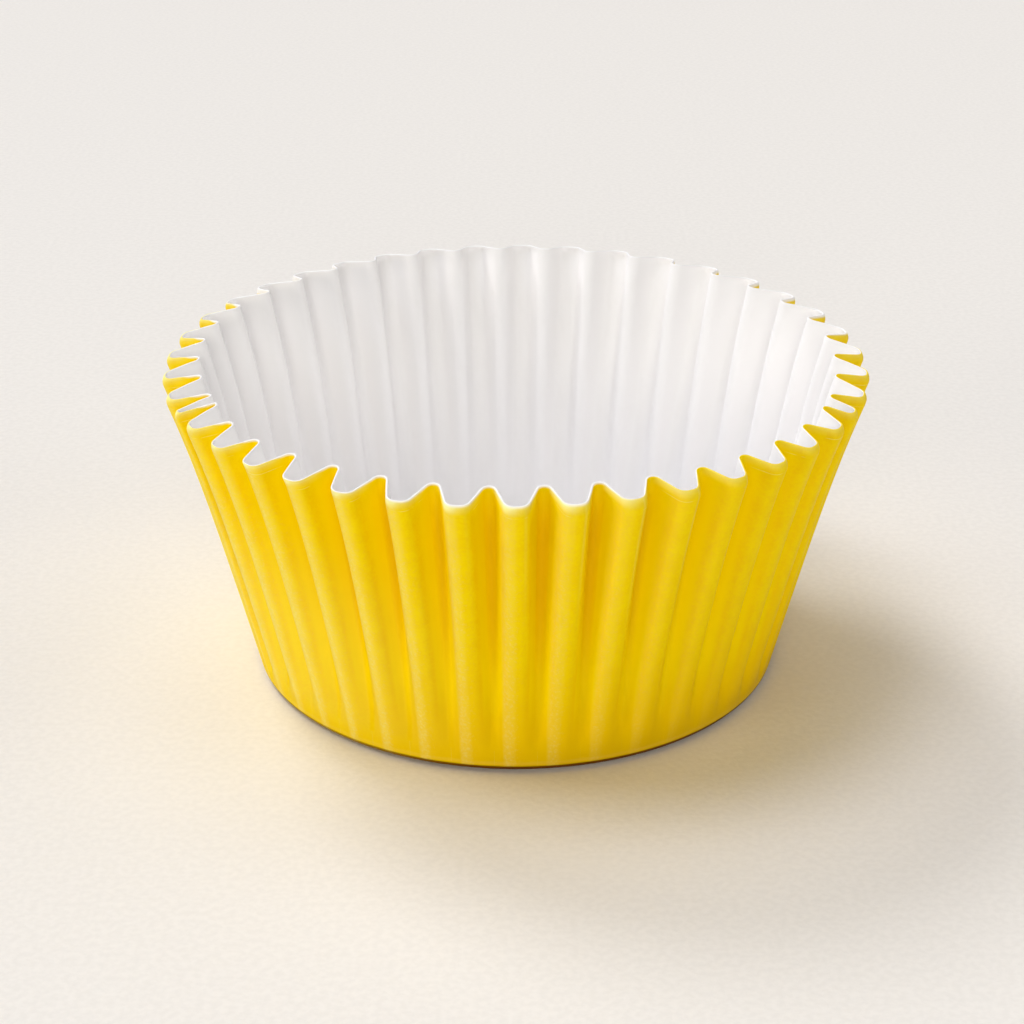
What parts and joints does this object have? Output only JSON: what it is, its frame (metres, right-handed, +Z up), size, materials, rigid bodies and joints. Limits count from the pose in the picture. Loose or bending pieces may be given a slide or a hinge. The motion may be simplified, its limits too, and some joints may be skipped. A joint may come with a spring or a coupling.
{
  "type": "paper candy cup",
  "caption": "Small round paper candy cup with a flat foot and a flaring pleated wall, yellow outside and white inside, open at the top to hold a single sweet.",
  "frame": {"origin": "middle of the underside of the foot, on the surface that the cup stands on", "axes": "+Z up along the cup's axis, out of its mouth; -Y towards the side that the picture is seen from; the pinched pleat is on the -X side"},
  "size_m": [0.0418, 0.0418, 0.0194],
  "materials": {
    "printed_paper": "thin white paper with a satin yellow print on the outside; the inside and the cut edge are bare white"
  },
  "bodies": {
    "root": {"pleated_cup": "printed_paper"}
  },
  "joints": []
}
